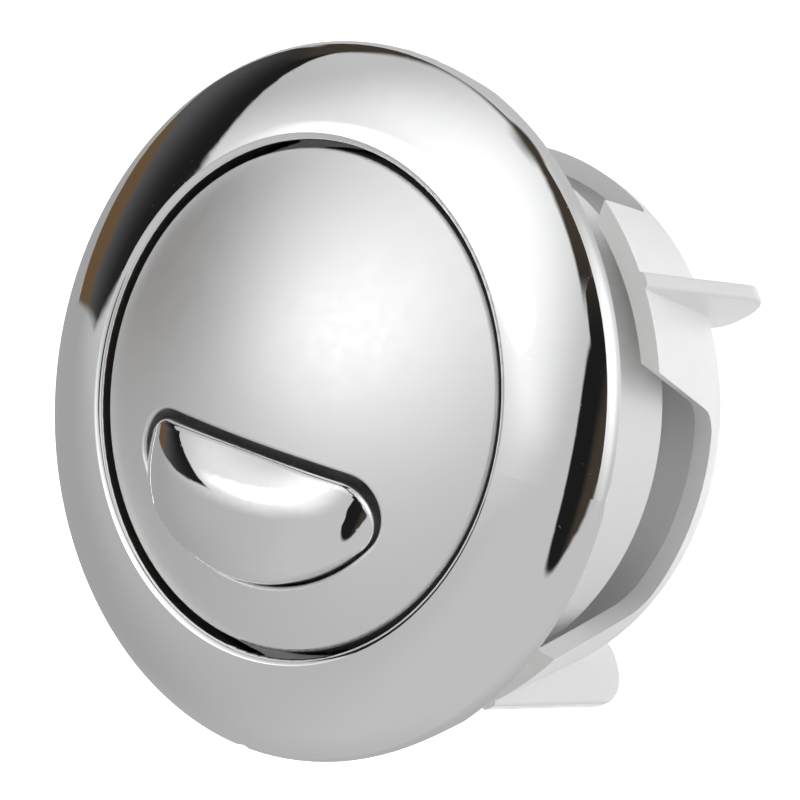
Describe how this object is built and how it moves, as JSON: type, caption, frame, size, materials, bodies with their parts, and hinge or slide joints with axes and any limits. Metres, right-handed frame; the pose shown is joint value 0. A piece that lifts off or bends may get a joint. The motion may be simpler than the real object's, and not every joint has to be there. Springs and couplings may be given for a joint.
{
  "type": "push button cistern actuator",
  "caption": "Round dual-flush cistern push button: convex chrome bezel, domed button with a nested half-moon button, white neck, air pumps behind and a tabbed clamp nut.",
  "frame": {"origin": "on the button axis, in the plane where the gasket meets the panel", "axes": "+Z out of the face of the buttons, -Y towards the half-moon button, +X to the right when the face is seen with the half-moon button below"},
  "size_m": [0.0732, 0.0732, 0.0649],
  "materials": {
    "chrome": "polished",
    "satin_chrome": "satin",
    "white_plastic": "semi-gloss",
    "natural_plastic": "matte",
    "black_rubber": "matte",
    "foam": "matte",
    "steel": "bright"
  },
  "bodies": {
    "fixed": {"housing": "white_plastic", "bezel": "chrome", "panel_gasket": "foam", "pump_block": "natural_plastic", "pump_cap": "natural_plastic", "cap_seal_full": "black_rubber", "cap_seal_half": "black_rubber", "cap_screw": "steel", "block_screw_1": "steel", "block_screw_2": "steel", "block_screw_3": "steel", "main_spring": "steel"},
    "main": {"main_cap": "satin_chrome", "main_carrier": "white_plastic", "full_piston": "natural_plastic", "full_piston_seal": "black_rubber", "half_spring": "steel"},
    "half": {"half_cap": "chrome", "half_plunger": "white_plastic", "half_piston": "natural_plastic", "half_piston_seal": "black_rubber"},
    "nut": {"clamp_nut": "white_plastic"}
  },
  "joints": [
    {"name": "main_press", "type": "slide", "parent": "fixed", "child": "main", "axis": [0, 0, -1], "range_m": [0, 0.006], "stiffness_N_per_m": 1200, "springref_m": -0.004, "deforming": ["main_spring"]},
    {"name": "half_press", "type": "slide", "parent": "main", "child": "half", "axis": [0, 0, -1], "range_m": [0, 0.005], "stiffness_N_per_m": 600, "springref_m": -0.004, "deforming": ["half_spring"]},
    {"name": "nut_turn", "type": "hinge", "parent": "fixed", "child": "nut", "pos_m": [0, 0, -0.027], "axis": [0, 0, 1], "continuous": true}
  ]
}
